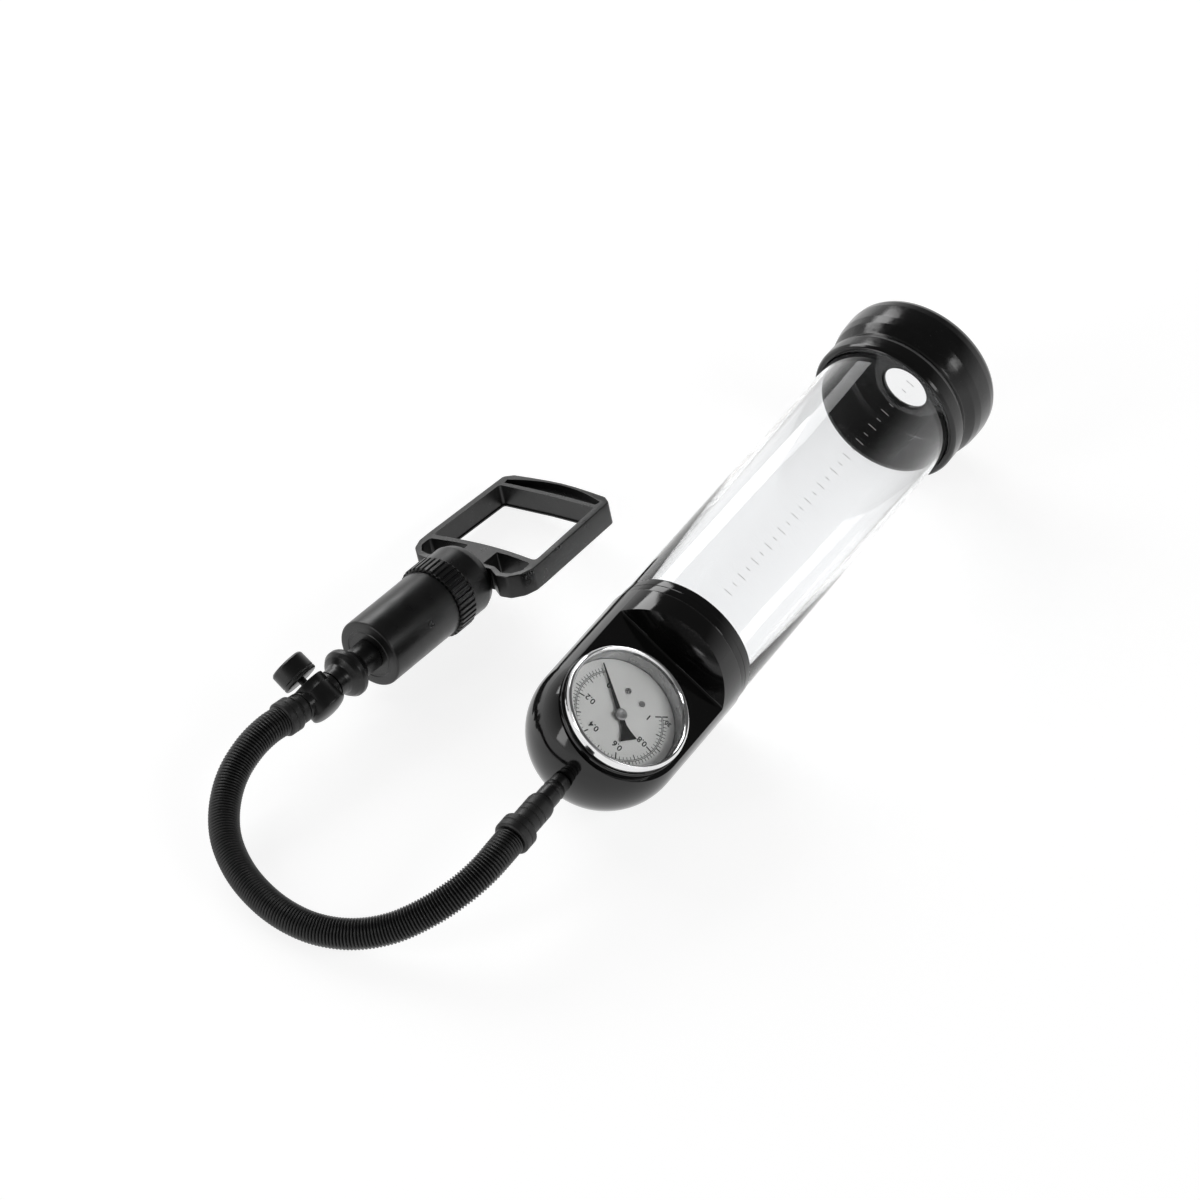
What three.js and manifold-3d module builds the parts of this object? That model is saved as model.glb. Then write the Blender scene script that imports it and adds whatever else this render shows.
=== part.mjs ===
// Hand vacuum pump: a clear cylinder with a gauge head and a soft sleeve, joined by a ribbed hose
// to a small hand pump with a release valve. Millimetres, +Z up.
// +X runs along the cylinder from its head to its sleeve, +Y points to the hand pump.
import * as THREE from 'three';
import { mergeVertices } from 'three/addons/utils/BufferGeometryUtils.js';
import Module from 'manifold-3d';

const wasm = await Module();
wasm.setup();

// ---- Driving dimensions -------------------------------------------------------------------
const GAP = 0.3; // clearance between pieces that touch on the real object
const TUBE_R = 30;
const TUBE_WALL = 2.8;
const TUBE_END_X = 229;
const HEAD_R = 31;
const HEAD_WALL = 3;
const HEAD_END_X = 49;
const HEAD_ROLL = THREE.MathUtils.degToRad(32.3); // the gauge leans towards -Y
const RING_END_X = 56.7;
const FLAT = 14.6; // distance of the gauge flat from the cylinder's axis
const STEP_FOOT_X = 35;
const STEP_TOP_X = 40.5;
const RIM_X = 243.4;
const RIM_R = 34.7;
const GAUGE_CASE_R = 24.4;
const GAUGE_DEPTH = 20;
const GAUGE_SHIFT = 0.9; // the gauge sits slightly off the flat's middle line
const DIAL_DEPTH = 2; // the dial lies this far under the flat
const BOSS_HEIGHT = 2.4; // a raised ring round the gauge
const BOSS_R = 26.4;
const BEZEL_R = 25.9;
const WINDOW_R = 23.8;
const DIAL_R = 23.4;
const NEEDLE_REST = THREE.MathUtils.degToRad(56);
const SECTOR_DISTANCE = 13.4; // pinion axis to sector axis
const PINION_R = 1.6;
const BARREL_R = 14.6;
const BORE_R = 11.8;
const BARREL_LENGTH = 38.5; // up to the knurled ring
const KNURL_LENGTH = 9.5;
const CAP_R = 15.4;
const KNURL_R = 15.9;
const CAP_END_X = 61.5;
const ROD_R = 4;
const HANDLE_DEPTH = 10.2;
const SHOULDER_HALF = 29.9; // half the handle's width at its shoulders
const GRIP_HALF = 27.9; // and at its grip
const HANDLE_END_X = 125;
const STRAP = 3;
const GRIP_BAR = 10.5;
const HANDLE_ROLL = THREE.MathUtils.degToRad(-16.2);
const PUMP_PLACE = new THREE.Vector3(-3.7, 107.1, 18.9); // centre of the barrel's end face
const PUMP_TILT = THREE.MathUtils.degToRad(2.9); // the pump's axis descends towards its handle
const PUMP_YAW = THREE.MathUtils.degToRad(-5.2); // and runs slightly towards the cylinder
const VALVE_X = -31.8; // on the pump's axis
const VALVE_R = 8;
const CUFF_YAW = THREE.MathUtils.degToRad(-6); // the hose leaves the valve slightly away from the cylinder
const VALVE_ROLL = THREE.MathUtils.degToRad(-63.5); // turns +Z to the release button's direction
const HOSE_R = 6.15;
const HOSE_SIDES = 10;
const HOSE_STEPS = 18;

// The cylinder lies on its head and on its sleeve's rim.
const CYLINDER_TILT = Math.asin((RIM_R - HEAD_R) / RIM_X);

// ---- Materials ----------------------------------------------------------------------------
const paint = (color, roughness, metalness = 0) =>
  new THREE.MeshStandardMaterial({ color, roughness, metalness });
const glossyBlack = paint(0x0b0b0c, 0.12);
const satinBlack = paint(0x141415, 0.42);
const sleeveBlack = paint(0x0c0c0d, 0.2);
const rubberBlack = paint(0x121213, 0.6);
const chrome = paint(0xd8dadc, 0.12, 1);
const steel = paint(0xa9acb0, 0.3, 1);
const brass = paint(0xb8974a, 0.35, 1);
const dialWhite = paint(0xe6e7e2, 0.6);
const needleBlack = paint(0x101010, 0.4);
const clear = paint(0xeef2f4, 0.05);
clear.transparent = true;
clear.opacity = 0.25;

// ---- Shape helpers ------------------------------------------------------------------------
// A profile is a list of [place along the axis, radius]; the turned solid's axis is +X or +Z.
function turned(profile, segments, axis = 'x') {
  const points = profile.map(([along, radius]) => new THREE.Vector2(Math.max(radius, 0), along));
  const onAxis = points[0].x === 0 && points.at(-1).x === 0;
  if (!onAxis) points.push(points[0].clone());
  if (THREE.ShapeUtils.area(points) < 0) points.reverse();
  const geometry = new THREE.LatheGeometry(points, segments);
  if (axis === 'x') geometry.rotateZ(-Math.PI / 2);
  else geometry.rotateX(Math.PI / 2);
  return geometry;
}

// Points of an arc in a profile, from one angle to another in degrees, ends included.
function arc(cx, cy, radius, from, to, steps) {
  return Array.from({ length: steps + 1 }, (_, i) => {
    const angle = THREE.MathUtils.degToRad(from + ((to - from) * i) / steps);
    return [cx + radius * Math.cos(angle), cy + radius * Math.sin(angle)];
  });
}

const ring = (from, to, inner, outer, segments, axis) =>
  turned([[from, inner], [from, outer], [to, outer], [to, inner]], segments, axis);
const rod = (from, to, radius, segments, axis) =>
  turned([[from, 0], [from, radius], [to, radius], [to, 0]], segments, axis);

// A flat shape pulled up along +Z from one height to another.
function plate(shape, from, to) {
  const geometry = new THREE.ExtrudeGeometry(shape, { depth: to - from, bevelEnabled: false });
  return geometry.translate(0, 0, from);
}

const polygon = (points) => new THREE.Shape(points.map(([x, y]) => new THREE.Vector2(x, y)));

// A wheel outline with the given number of teeth between two radii.
function toothedOutline(teeth, inner, outer, from = 0, to = 2 * Math.PI) {
  const pitch = (to - from) / teeth;
  const corners = [[0.1, inner], [0.3, outer], [0.7, outer], [0.9, inner]];
  return Array.from({ length: teeth * corners.length }, (_, i) => {
    const [share, radius] = corners[i % corners.length];
    const angle = from + pitch * (Math.floor(i / corners.length) + share);
    return [radius * Math.cos(angle), radius * Math.sin(angle)];
  });
}

function solid(geometry) {
  const bare = geometry.clone();
  bare.deleteAttribute('normal');
  bare.deleteAttribute('uv');
  const merged = mergeVertices(bare, 1e-4);
  const triangles = [];
  for (let i = 0; i < merged.index.count; i += 3) {
    const [a, b, c] = [0, 1, 2].map((k) => merged.index.getX(i + k));
    if (a !== b && b !== c && c !== a) triangles.push(a, b, c);
  }
  const vertProperties = new Float32Array(merged.attributes.position.array);
  const triVerts = new Uint32Array(triangles);
  return new wasm.Manifold(new wasm.Mesh({ numProp: 3, vertProperties, triVerts }));
}

function shell(manifold) {
  const mesh = manifold.getMesh();
  const geometry = new THREE.BufferGeometry();
  geometry.setAttribute('position', new THREE.BufferAttribute(mesh.vertProperties, 3));
  geometry.setIndex(new THREE.BufferAttribute(mesh.triVerts, 1));
  geometry.computeVertexNormals();
  return geometry;
}

const cut = (geometry, ...tools) =>
  shell(tools.reduce((body, tool) => body.subtract(solid(tool)), solid(geometry)));
const join = (geometry, ...others) =>
  shell(others.reduce((body, other) => body.add(solid(other)), solid(geometry)));

function add(parent, name, geometry, material) {
  const mesh = new THREE.Mesh(geometry, material);
  mesh.name = name;
  parent.add(mesh);
  return mesh;
}

// ---- Cylinder: head, tube, sleeve ---------------------------------------------------------
const cylinder = new THREE.Group();
cylinder.position.set(0, 0, HEAD_R);
cylinder.rotation.y = -CYLINDER_TILT;

const head = new THREE.Group();
head.rotation.x = HEAD_ROLL;
cylinder.add(head);

// What lies above the gauge flat and in front of the leaning step wall, deeper by `inset`.
function overFlat(inset) {
  const outline = polygon([
    [-HEAD_R - 5, FLAT - inset], [STEP_FOOT_X + inset - 2, FLAT - inset],
    [STEP_FOOT_X + inset + 0.6, FLAT - inset + 1], [STEP_FOOT_X + inset + 2, FLAT - inset + 4],
    [STEP_TOP_X + inset, HEAD_R - inset], [STEP_TOP_X + inset + 1, HEAD_R + 5], [-HEAD_R - 5, HEAD_R + 5],
  ]);
  return plate(outline, -HEAD_R - 5, HEAD_R + 5).rotateX(Math.PI / 2);
}

const SPIGOT_R = 28.9; // the tube's turned-down end, inside the head
const SOCKET_X = 42.6;
const NIPPLE_THREAD_R = 3;
const headOuter = turned([
  ...arc(0, 0, HEAD_R, 180, 90, 10), [HEAD_END_X - 0.8, HEAD_R], [HEAD_END_X, HEAD_R - 0.8], [HEAD_END_X, 0],
], 36);
const cavityR = HEAD_R - HEAD_WALL;
const headCavity = turned([
  ...arc(0, 0, cavityR, 180, 90, 7), [SOCKET_X + 1, cavityR], [SOCKET_X + 1, 0],
], 36);
const tubeSocket = rod(SOCKET_X, HEAD_END_X + 1, SPIGOT_R + GAP, 36);
const cavity = join(cut(headCavity, overFlat(HEAD_WALL)), tubeSocket);
const gaugeHole = rod(0, HEAD_R, GAUGE_CASE_R + GAP, 36, 'z').translate(0, GAUGE_SHIFT, 0);
const boss = rod(FLAT - 2, FLAT + BOSS_HEIGHT, BOSS_R, 36, 'z').translate(0, GAUGE_SHIFT, 0);
const nippleHole = rod(-HEAD_R - 2, -GAUGE_CASE_R - 1, NIPPLE_THREAD_R + GAP, 20);
const headBlank = join(cut(headOuter, overFlat(0)), boss);
add(head, 'head_housing', cut(headBlank, cavity, gaugeHole, nippleHole), glossyBlack);

const nippleEnd = -HEAD_R - GAP - 4.1;
add(cylinder, 'head_nipple', turned([
  [nippleEnd - 6.5, 1.2], [nippleEnd - 6.5, 2.2], [nippleEnd, 2.2], [nippleEnd, 4], [-HEAD_R - GAP, 4],
  [-HEAD_R - GAP, NIPPLE_THREAD_R], [-HEAD_R + 5, NIPPLE_THREAD_R], [-HEAD_R + 5, 1.2],
], 20), satinBlack);

add(cylinder, 'head_ring',
  ring(HEAD_END_X + GAP, RING_END_X - GAP, SPIGOT_R + GAP, TUBE_R + 0.3, 36), satinBlack);
add(cylinder, 'tube_seal_ring',
  ring(SOCKET_X + GAP, SOCKET_X + 1.8, TUBE_R - TUBE_WALL + GAP, SPIGOT_R, 36), rubberBlack);
add(cylinder, 'cylinder_tube', turned([
  [SOCKET_X + 2.1, TUBE_R - TUBE_WALL], [SOCKET_X + 2.1, SPIGOT_R], [RING_END_X, SPIGOT_R],
  [RING_END_X, TUBE_R], [TUBE_END_X, TUBE_R], [TUBE_END_X, TUBE_R - TUBE_WALL],
], 36), clear);

const COLLAR_X = 210.4;
const COLLAR_R = 33;
const MEMBRANE_HOLE_R = 9.8;
add(cylinder, 'sleeve', turned([
  [COLLAR_X, TUBE_R + GAP], ...arc(COLLAR_X + 2, COLLAR_R - 2, 2, 180, 90, 3), [219, COLLAR_R],
  [220.5, 32.2], [222, 31.7], [223.5, 32.3], [226.5, 33.8], [230, 34.5], [234, RIM_R], [237.5, RIM_R],
  [240.5, 34.2], [242.5, 33.2], [RIM_X, 31.8],
  [RIM_X, 30.2], [RIM_X - 0.8, 29], [239, 25.5], [234.5, 21.5], [230.5, 16],
  ...arc(TUBE_END_X - 2, MEMBRANE_HOLE_R + 2, 2, 40, -150, 6),
  [TUBE_END_X - 2.4, 16], [TUBE_END_X - 1, 22], [TUBE_END_X + GAP, 26], [TUBE_END_X + GAP, TUBE_R + GAP],
], 36), sleeveBlack);

// ---- Gauge, in the head's rolled frame; heights are over the dial --------------------------
const gauge = new THREE.Group();
gauge.position.set(0, GAUGE_SHIFT, FLAT - DIAL_DEPTH);
const BEZEL_FOOT = DIAL_DEPTH + BOSS_HEIGHT + 1.4;
head.add(gauge);

const CASE_WALL = 0.8;
const caseFloor = -GAUGE_DEPTH + 1;
const socketX = 16;
const STEM_R = 4;
const gaugeCup = turned([
  [-GAUGE_DEPTH, 0], [-GAUGE_DEPTH, GAUGE_CASE_R], [BEZEL_FOOT + 1, GAUGE_CASE_R],
  [BEZEL_FOOT + 1, GAUGE_CASE_R - CASE_WALL],
  [caseFloor, GAUGE_CASE_R - CASE_WALL], [caseFloor, 0],
], 36, 'z');
const stemHole = rod(-GAUGE_DEPTH - 1, caseFloor + 1, STEM_R + GAP, 20, 'z').translate(socketX, 0, 0);
add(gauge, 'gauge_case', cut(gaugeCup, stemHole), steel);
add(gauge, 'gauge_gasket',
  ring(BEZEL_FOOT - 1, BEZEL_FOOT - GAP, GAUGE_CASE_R + 0.3, BEZEL_R - 0.3, 36, 'z'), rubberBlack);
add(gauge, 'gauge_bezel', turned([
  [0, GAUGE_CASE_R + GAP], [0, BEZEL_R], [2.6, BEZEL_R], [3.4, BEZEL_R - 0.5], [3.7, BEZEL_R - 1.4],
  [3.3, WINDOW_R], [2.9, WINDOW_R], [2.9, GAUGE_CASE_R + GAP],
], 36, 'z').translate(0, 0, BEZEL_FOOT), chrome);
add(gauge, 'gauge_lens', rod(BEZEL_FOOT + 1.4, BEZEL_FOOT + 2.6, GAUGE_CASE_R - GAP, 36, 'z'), clear);

// Dial with holes for the pinion's shaft and two screws.
const SCREW_X = 11.1;
const SCREW_SPREAD = 3.6;
const holePlaces = [[0, 0, 1.5], [SCREW_X, SCREW_SPREAD, 0.9], [SCREW_X, -SCREW_SPREAD, 0.9]];
const dialHoles = holePlaces.map(([x, y, radius]) => rod(-2, 1, radius, 12, 'z').translate(x, y, 0));
add(gauge, 'gauge_dial', cut(rod(-0.6, 0, DIAL_R, 32, 'z'), ...dialHoles), dialWhite);
for (const [index, side] of [1, -1].entries()) {
  const screw = turned([[-3.7, 0], [-3.7, 0.6], [GAP, 0.6], [GAP, 1.3], [0.7, 1.1], [0.7, 0]], 12, 'z');
  screw.translate(SCREW_X, side * SCREW_SPREAD, 0);
  add(gauge, `dial_screw_${index + 1}`, screw, steel);
}

// Needle: a long taper, a neck and a flared tail, with a hole for the hub.
const needleShape = polygon([
  [21.4, -0.2], [21.4, 0.2], [2, 0.9], [-2, 1], [-4.5, 1.1], [-10.4, 3.5], [-10.4, -3.5],
  [-4.5, -1.1], [-2, -1], [2, -0.9],
]);
const needleBoss = ring(0.9, 1.3, 1.2, 2.3, 20, 'z');
const needleBlade = plate(needleShape, 0.9, 1.3);
const needle = new THREE.Group();
needle.rotation.z = NEEDLE_REST;
gauge.add(needle);
const needleSolid = join(needleBoss, cut(needleBlade, rod(0, 3, 1.2, 20, 'z')));
add(needle, 'gauge_needle', needleSolid, needleBlack);
add(needle, 'needle_hub',
  turned([[GAP, 0], [GAP, 0.9], [1.6, 0.9], [1.6, 2.5], [2, 2.5], [2.3, 2.1], [2.3, 0]], 20, 'z'), steel);

// Pinion on the needle's axis, and the sector that turns it. Their teeth stop short of each other.
const pinionWheel = plate(polygon(toothedOutline(10, PINION_R - 0.35, PINION_R)), -3.4, -1.4);
add(needle, 'gauge_pinion', join(pinionWheel, rod(-7.5, 0, 0.7, 12, 'z')), brass);

const MOVEMENT_TOP = -4;
const movementShape = polygon([
  [-17, -6], [-17, 6], [-6, 11], [6, 11], [14, 5], [19, 5], [19, -5], [14, -5], [6, -11], [-6, -11],
]);
const movementBlank = plate(movementShape, MOVEMENT_TOP - 1.2, MOVEMENT_TOP);
const arborHole = rod(MOVEMENT_TOP - 2, MOVEMENT_TOP + 1, 1, 12, 'z');
const sectorArborHole = arborHole.clone().translate(-SECTOR_DISTANCE, 0, 0);
add(gauge, 'movement_plate', cut(movementBlank, arborHole, sectorArborHole), brass);

const sectorPivot = new THREE.Group();
sectorPivot.position.x = -SECTOR_DISTANCE;
gauge.add(sectorPivot);
const sectorReach = SECTOR_DISTANCE - PINION_R - GAP;
const toothArc = THREE.MathUtils.degToRad(22);
const sectorRest = THREE.MathUtils.degToRad(18);
const sectorBlade = polygon([
  [0.5, -1.6], ...toothedOutline(12, sectorReach - 0.4, sectorReach, -toothArc, toothArc), [0.5, 1.6],
]);
const sectorTail = polygon([[0, -1.3], [0, 1.3], [-5.4, 1], [-5.4, -1]]);
const sector = join(
  plate(sectorBlade, -3.2, -2.2), plate(sectorTail, -3.2, -2.2),
  rod(-6.6, -1.4, 0.7, 12, 'z'), rod(-3.6, -1.8, 2, 16, 'z'),
);
sector.rotateZ(sectorRest);
add(sectorPivot, 'gauge_sector', sector, brass);

// Socket: the block that holds the Bourdon tube, with its stem through the case's back.
const BOURDON_R = 17;
const socketTop = MOVEMENT_TOP - 1.2 - GAP;
const socketFoot = caseFloor + GAP;
const block = new THREE.BoxGeometry(9, 9, socketTop - socketFoot);
block.translate(socketX, 0, (socketTop + socketFoot) / 2);
const stem = rod(-GAUGE_DEPTH - 4, socketFoot + 1, STEM_R, 20, 'z').translate(socketX, 0, 0);
const stemBore = rod(-GAUGE_DEPTH - 5, -GAUGE_DEPTH + 6, 1.3, 12, 'z').translate(socketX, 0, 0);
add(gauge, 'gauge_socket', cut(join(block, stem), stemBore), brass);

// Bourdon tube: a flattened tube bent to a C round the movement.
class BourdonCurve extends THREE.Curve {
  getPoint(t, target = new THREE.Vector3()) {
    const angle = THREE.MathUtils.degToRad(21 + 262 * t);
    return target.set(BOURDON_R * Math.cos(angle), BOURDON_R * Math.sin(angle), 0);
  }
}
const flatOval = new THREE.Shape().absellipse(0, 0, 2.4, 1.1, 0, 2 * Math.PI);
const bourdonPath = new BourdonCurve();
const bourdon = new THREE.ExtrudeGeometry(flatOval, {
  steps: 20,
  curveSegments: 4,
  extrudePath: bourdonPath,
});
add(gauge, 'bourdon_tube', bourdon.translate(0, 0, -11), brass);
const linkShape = polygon([
  [3.6, -13.6], [5, -13.6], [5, -11.6], [-16.4, -7.4], [-17.2, -8.4], [3.6, -12.8],
]);
add(gauge, 'gauge_link', plate(linkShape, -7.2, -6.6), brass);

// ---- Hand pump, along its own axis; 0 is the barrel's end face ------------------------------
const pump = new THREE.Group();
pump.position.copy(PUMP_PLACE);
pump.rotation.set(0, PUMP_TILT, PUMP_YAW, 'ZYX');

const THREAD_R = BARREL_R - 1;
const THREAD_END_X = CAP_END_X - 6.5;
add(pump, 'pump_barrel', turned([
  [0, 2], [0, BARREL_R - 1], [1, BARREL_R], [BARREL_LENGTH, BARREL_R], [BARREL_LENGTH, THREAD_R],
  [THREAD_END_X, THREAD_R], [THREAD_END_X, BORE_R], [2.5, BORE_R], [2.5, 2],
], 32), satinBlack);
add(pump, 'pump_nozzle', turned([
  [-GAP, 2], [-GAP, 6.5], [-9, 6.5], [-11.6, 8.6], [-13, 10.2], [-15.6, 10.2], [-17, 8.8], [-18.4, 6],
  [VALVE_X + VALVE_R + GAP, 6], [VALVE_X + VALVE_R + GAP, 2],
], 28), satinBlack);
add(pump, 'check_valve_flap', rod(2.8, 3.6, 3.4, 20), rubberBlack);

const capInner = THREAD_R + GAP;
const capShell = turned([
  [BARREL_LENGTH + GAP, capInner], [BARREL_LENGTH + GAP, CAP_R - 0.3], [CAP_END_X - 4, CAP_R - 0.3],
  ...arc(CAP_END_X - 4, CAP_R - 4.3, 4, 90, 0, 4), [CAP_END_X, 6],
  [THREAD_END_X + GAP, 6], [THREAD_END_X + GAP, capInner],
], 32);
const knurlShape = polygon(toothedOutline(28, KNURL_R - 0.7, KNURL_R));
const knurlDisc = plate(knurlShape, BARREL_LENGTH + GAP, BARREL_LENGTH + KNURL_LENGTH);
knurlDisc.rotateX(Math.PI / 2).rotateZ(Math.PI / 2);
const knurl = cut(knurlDisc, rod(0, CAP_END_X, CAP_R - 0.8, 32));
add(pump, 'knurled_cap', join(capShell, knurl), satinBlack);
add(pump, 'rod_guide', ring(THREAD_END_X + 0.6, CAP_END_X, ROD_R + GAP, 6 - GAP, 28), satinBlack);

// The plunger: what moves when the handle is pulled.
const HANDLE_X = CAP_END_X + 0.5;
const HUB_END_X = HANDLE_X + 10;
const rodEnd = HANDLE_X + 4.6;
add(pump, 'piston_head', turned([
  [4.2, 0], [4.2, 4.2], [7, 4.2], [7, BORE_R - 0.6], [9.5, BORE_R - 0.6], [9.5, 0],
], 32), satinBlack);
add(pump, 'piston_cup_seal', turned([
  [4.4, 4.5], [4.4, 7], [5.4, 8.5], [4.4, 10.6], [4.4, BORE_R - GAP], [6.7, BORE_R - GAP], [6.7, 4.5],
], 32), rubberBlack);
add(pump, 'piston_rod', turned([
  [9.8, 0], [9.8, ROD_R], [rodEnd, ROD_R], [rodEnd, 1.8], [rodEnd - 9, 1.8], [rodEnd - 9, 0],
], 20), steel);

// D-shaped handle: an outline with one hand opening and two small windows beside the hub.
const SHOULDER_X = HANDLE_X + 12;
const outerHalf = [
  [HANDLE_X, 13], [HANDLE_X - 3.2, 18.2], [HANDLE_X - 2.6, 23.5], [HANDLE_X + 1.4, 28],
  [HANDLE_X + 6.5, SHOULDER_HALF], [SHOULDER_X, SHOULDER_HALF],
  [HANDLE_END_X - 6, GRIP_HALF], [HANDLE_END_X - 3, GRIP_HALF - 1], [HANDLE_END_X - 2, GRIP_HALF - 4],
  [HANDLE_END_X - 0.8, 14],
];
const mirrored = (points) => points.toReversed().map(([x, y]) => [x, -y]);
const handleShape = polygon([...outerHalf, [HANDLE_END_X, 0], ...mirrored(outerHalf)]);
const gripIn = HANDLE_END_X - GRIP_BAR;
const fingerHalf = [[SHOULDER_X, SHOULDER_HALF - STRAP], [gripIn, GRIP_HALF - STRAP]];
const fingerHole = polygon([
  [SHOULDER_X + 1.7, 0], ...fingerHalf, [gripIn + 0.6, 0], ...mirrored(fingerHalf),
]);
const sideWindow = (side) => polygon([
  [HANDLE_X + 2, side * 7.5], [HANDLE_X + 2, side * 13.5], [HANDLE_X - 0.6, side * 19],
  [HANDLE_X + 0.4, side * 23.5], [HANDLE_X + 4, side * 26.5], [SHOULDER_X - 2.7, side * 26.3],
  [SHOULDER_X - 1.9, side * 20], [SHOULDER_X - 1, side * 7.5],
]);
const handle = new THREE.Group();
handle.rotation.x = HANDLE_ROLL;
pump.add(handle);
const through = (shape) => plate(shape, -HANDLE_DEPTH, HANDLE_DEPTH);
const handleBlank = plate(handleShape, -HANDLE_DEPTH / 2, HANDLE_DEPTH / 2);
const handleFrame = cut(handleBlank, through(fingerHole), through(sideWindow(1)), through(sideWindow(-1)));
const screwPocket = rod(HUB_END_X, HANDLE_X + 21, 3.9, 20);
const screwHole = rod(HANDLE_X + 2, HANDLE_X + 14, 1.8, 12);
const rodSocket = rod(HANDLE_X - 1, rodEnd + GAP, ROD_R + GAP, 20);
add(handle, 'pump_handle', cut(handleFrame, rodSocket, screwHole, screwPocket), satinBlack);
add(handle, 'handle_screw', turned([
  [rodEnd - 8, 0], [rodEnd - 8, 1.5], [HUB_END_X + GAP, 1.5], [HUB_END_X + GAP, 3.2],
  [HUB_END_X + 2.4, 3], [HUB_END_X + 2.4, 0],
], 16), steel);

// ---- Release valve on the pump's nozzle -----------------------------------------------------
const valve = new THREE.Group();
valve.position.x = VALVE_X;
valve.rotation.x = VALVE_ROLL;
pump.add(valve);
const VALVE_BORE_R = 3.6;
const VALVE_FOOT = -6.2; // where the cross body's domed end begins
const VALVE_TOP = 6.5;
const BUTTON_Z = 8.9;
const BUTTON_R = 7.7;
const BARB_END = 17.5;
const crossFoot = arc(0, 0, VALVE_R, 180, 90, 5).map(([z, r]) => [VALVE_FOOT + z * 0.33, r]);
const crossBody = turned([
  ...crossFoot, [VALVE_TOP - 0.5, VALVE_R], [VALVE_TOP, VALVE_R - 0.5], [VALVE_TOP, 0],
], 28, 'z');
const towardsPump = rod(0, VALVE_R, 6, 28);
const towardsHose = turned([
  [-BARB_END, 0], [-BARB_END, 2.6], [-VALVE_R - 0.4, 3.2], [-VALVE_R - 0.4, 6], [0, 6], [0, 0],
], 24);
const pumpBore = rod(0, VALVE_R + 1, 1.6, 12);
const hoseBore = rod(-BARB_END - 1, 0, 1.6, 12);
for (const piece of [towardsHose, hoseBore]) piece.rotateZ(CUFF_YAW).rotateX(-VALVE_ROLL);
const crossBore = rod(-6, 8, VALVE_BORE_R, 20, 'z');
const teeBody = join(crossBody, towardsPump, towardsHose);
add(valve, 'valve_body', cut(teeBody, pumpBore, hoseBore, crossBore), satinBlack);
const button = turned([
  [BUTTON_Z, 0], [BUTTON_Z, BUTTON_R - 0.5], [BUTTON_Z + 0.5, BUTTON_R], [BUTTON_Z + 8.1, BUTTON_R - 0.1],
  [BUTTON_Z + 8.9, BUTTON_R - 0.8], [BUTTON_Z + 9.4, 0],
], 28, 'z');
add(valve, 'release_button', cut(button, rod(BUTTON_Z - 1, BUTTON_Z + 5, 1.9, 14, 'z')), satinBlack);
add(valve, 'valve_stem', turned([
  [-2.8, 0], [-2.8, 3.1], [-1.9, 3.1], [-1.9, 1.6], [BUTTON_Z + 4.6, 1.6], [BUTTON_Z + 4.6, 0],
], 16, 'z'), satinBlack);
add(valve, 'valve_o_ring', ring(-1.6, -0.2, 1.9, 3.2, 20, 'z'), rubberBlack);

class SpringCurve extends THREE.Curve {
  getPoint(t, target = new THREE.Vector3()) {
    const angle = 2 * Math.PI * 5 * t;
    return target.set(2.6 * Math.cos(angle), 2.6 * Math.sin(angle), 0.8 + 5 * t);
  }
}
const wire = new THREE.Shape().absarc(0, 0, 0.32, 0, 2 * Math.PI);
const spring = new THREE.ExtrudeGeometry(wire, {
  steps: 40,
  curveSegments: 3,
  extrudePath: new SpringCurve(),
});
add(valve, 'valve_spring', spring, steel);

// ---- Hose with its cuffs and coupler ---------------------------------------------------------
const hoseExit = new THREE.Group();
hoseExit.position.x = VALVE_X;
hoseExit.rotation.z = CUFF_YAW;
pump.add(hoseExit);
const cuffEnd = -VALVE_R - 11.6;
add(hoseExit, 'hose_cuff_pump', turned([
  [-VALVE_R - 0.7, 3.5], [-VALVE_R - 0.7, 6.15], [cuffEnd + 7, 6.15], [cuffEnd + 6, 7.2],
  [cuffEnd + 0.6, 7.2], [cuffEnd, 6.7], [cuffEnd, 3.5],
], 24), rubberBlack);
const couplerFrom = nippleEnd - GAP;
add(cylinder, 'hose_coupler', turned([
  [couplerFrom, 2.5], [couplerFrom, 4.5], [-44.7, 4.5], [-44.7, 2.4],
  [-56, 2.1], [-56, 1.2], [-44, 1.2], [-44, 2.5],
], 20), satinBlack);
add(cylinder, 'hose_cuff_head', turned([
  [-45, 2.7], [-45, 5.65], [-59, 5.65], [-60.4, 7.5], [-66.4, 7.5], [-67.1, 6.9], [-67.1, 2.7],
], 24), rubberBlack);

const HOSE_ROUTE = [
  [-54.8, 113.8, 21.5], [-61.3, 115.1, 21.8], [-71.5, 116.3, 20.4], [-84.5, 115.6, 16.7], [-97, 111, 12.8],
  [-108.2, 102.8, 9.8], [-117.1, 91, 7.6], [-123.2, 77.6, 6.6], [-126.6, 63.4, 6.4], [-126.5, 49.2, 6.6],
  [-122.6, 35.2, 8.2], [-115.3, 22.9, 11.6], [-105.6, 12.8, 17.2], [-94.5, 5.2, 23.2], [-83.5, 1.2, 27.4],
  [-75.5, 0.1, 29.5], [-67.9, 0, 29.97],
].map(([x, y, z]) => new THREE.Vector3(x, y, z));
const hoseSection = new THREE.Shape(
  Array.from({ length: HOSE_SIDES }, (_, i) => {
    const angle = (2 * Math.PI * i) / HOSE_SIDES;
    return new THREE.Vector2(HOSE_R * Math.cos(angle), HOSE_R * Math.sin(angle));
  }),
);
const hoseCurve = new THREE.CatmullRomCurve3(HOSE_ROUTE, false, 'centripetal');
const hoseTube = new THREE.ExtrudeGeometry(hoseSection, { steps: HOSE_STEPS, extrudePath: hoseCurve });

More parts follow.
